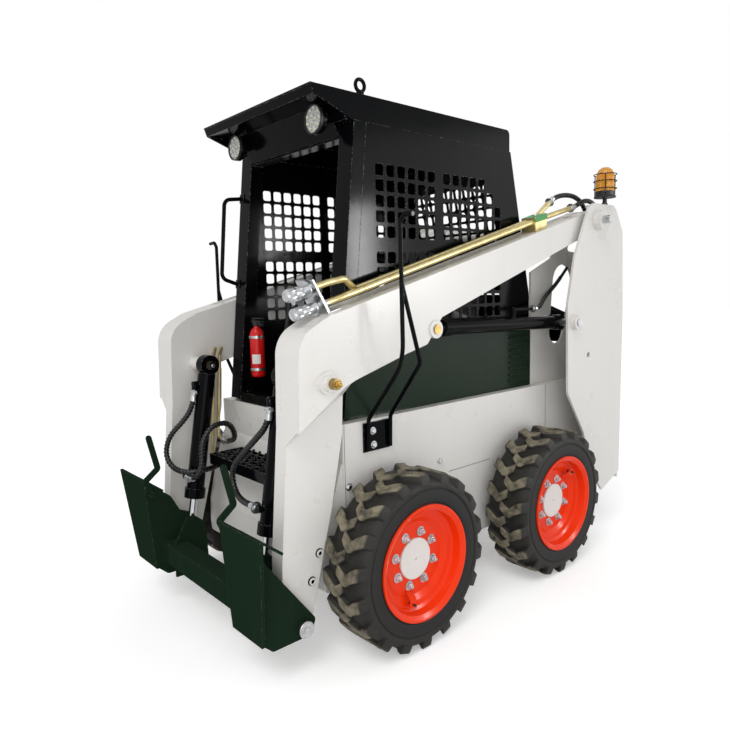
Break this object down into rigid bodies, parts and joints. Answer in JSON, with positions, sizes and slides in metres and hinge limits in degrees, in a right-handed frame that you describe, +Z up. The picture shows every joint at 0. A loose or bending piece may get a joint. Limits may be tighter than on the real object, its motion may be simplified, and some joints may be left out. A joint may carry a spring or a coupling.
{
  "type": "skid steer loader",
  "caption": "Skid steer loader with lift arms on rear towers, quick-hitch carriage, open guarded cab and driven wheels, standing parked with its arms down.",
  "frame": {"origin": "on the ground, under the middle of the machine's length and width", "axes": "+X towards the hitch (forwards), +Y to the machine's left, +Z up"},
  "size_m": [2.3258, 1.4392, 2.1529],
  "materials": {
    "amber_plastic": "gloss",
    "black_paint": "gloss",
    "black_plastic": "satin",
    "cast_iron": "matt",
    "chrome": "polished",
    "green_black_paint": "gloss",
    "hose_rubber": "satin",
    "lamp_lens": "gloss",
    "orange_paint": "gloss",
    "red_paint": "gloss",
    "seat_vinyl": "satin",
    "tyre": "matt",
    "white_paint": "gloss",
    "yellow_zinc": "satin",
    "zinc_steel": "satin"
  },
  "bodies": {
    "frame": {"axle_hubs": "black_paint", "beacon": "amber_plastic", "cab_frame": "black_paint", "cab_rear": "black_paint", "cab_roof": "black_paint", "cab_sides": "black_paint", "chassis": "white_paint", "control_levers": "black_plastic", "engine_block": "cast_iron", "fire_extinguisher": "red_paint", "front_step": "black_paint", "grab_handle": "black_paint", "guard_rods": "black_paint", "seat": "seat_vinyl", "side_covers": "green_black_paint", "tower_pins": "zinc_steel", "towers": "white_paint", "work_lights": "lamp_lens"},
    "lift_arms": {"lift_arms": "white_paint", "arm_pins": "zinc_steel", "arm_pipes": "yellow_zinc", "quick_couplers": "zinc_steel", "arm_hoses": "hose_rubber"},
    "lift_barrels": {"lift_barrels": "black_paint", "barrel_hoses": "hose_rubber"},
    "lift_rods": {"lift_rods": "chrome"},
    "carriage": {"carriage": "green_black_paint", "hitch_pins": "zinc_steel"},
    "tilt_barrels": {"tilt_barrels": "black_paint", "tilt_hoses": "hose_rubber"},
    "tilt_rods": {"tilt_rods": "chrome"},
    "tailgate": {"tailgate": "black_paint"},
    "hood": {"engine_hood": "black_paint"},
    "wheel_front_left": {"tyre_front_left": "tyre", "rim_front_left": "orange_paint", "hub_cap_front_left": "white_paint"},
    "wheel_front_right": {"tyre_front_right": "tyre", "rim_front_right": "orange_paint", "hub_cap_front_right": "white_paint"},
    "wheel_rear_left": {"tyre_rear_left": "tyre", "rim_rear_left": "orange_paint", "hub_cap_rear_left": "white_paint"},
    "wheel_rear_right": {"tyre_rear_right": "tyre", "rim_rear_right": "orange_paint", "hub_cap_rear_right": "white_paint"}
  },
  "joints": [
    {"name": "wheel_front_left_spin", "type": "hinge", "parent": "frame", "child": "wheel_front_left", "pos_m": [0.507, 0, 0.343], "axis": [0, 1, 0], "continuous": true},
    {"name": "wheel_front_right_spin", "type": "hinge", "parent": "frame", "child": "wheel_front_right", "pos_m": [0.507, 0, 0.343], "axis": [0, 1, 0], "continuous": true},
    {"name": "wheel_rear_left_spin", "type": "hinge", "parent": "frame", "child": "wheel_rear_left", "pos_m": [-0.434, 0, 0.343], "axis": [0, 1, 0], "continuous": true},
    {"name": "wheel_rear_right_spin", "type": "hinge", "parent": "frame", "child": "wheel_rear_right", "pos_m": [-0.434, 0, 0.343], "axis": [0, 1, 0], "continuous": true},
    {"name": "arm_lift", "type": "hinge", "parent": "frame", "child": "lift_arms", "pos_m": [-0.881, 0, 1.684], "axis": [0, -1, 0], "range_deg": [0, 60]},
    {"name": "lift_barrel_swing", "type": "hinge", "parent": "frame", "child": "lift_barrels", "pos_m": [-0.671, 0, 1.179], "axis": [0, -1, 0], "range_deg": [0, 59.51]},
    {"name": "lift_rod_slide", "type": "slide", "parent": "lift_barrels", "child": "lift_rods", "axis": [0.9997, 0, 0.0226], "range_m": [0, 0.5522]},
    {"name": "hitch_tilt", "type": "hinge", "parent": "lift_arms", "child": "carriage", "pos_m": [0.954, 0, 0.192], "axis": [0, 1, 0], "range_deg": [-5, 90]},
    {"name": "tilt_barrel_swing", "type": "hinge", "parent": "lift_arms", "child": "tilt_barrels", "pos_m": [0.85, 0, 1.05], "axis": [0, -1, 0], "range_deg": [-1.05, 10.36]},
    {"name": "tilt_rod_slide", "type": "slide", "parent": "tilt_barrels", "child": "tilt_rods", "axis": [0.1658, 0, -0.9862], "range_m": [-0.0124, 0.1892]},
    {"name": "tailgate_swing", "type": "hinge", "parent": "frame", "child": "tailgate", "pos_m": [-1.149, -0.384, 0.8], "axis": [0, 0, 1], "range_deg": [0, 110]},
    {"name": "hood_lift", "type": "hinge", "parent": "frame", "child": "hood", "pos_m": [-0.564, 0, 1.333], "axis": [0, 1, 0], "range_deg": [0, 60]}
  ],
  "couplings": [
    {"joint": "lift_barrel_swing", "follows": "arm_lift", "ratio": 0.9835},
    {"joint": "lift_rod_slide", "follows": "arm_lift", "m_per_rad": 0.5254},
    {"joint": "tilt_barrel_swing", "follows": "hitch_tilt", "ratio": 0.1095},
    {"joint": "tilt_rod_slide", "follows": "hitch_tilt", "m_per_rad": 0.11918}
  ]
}
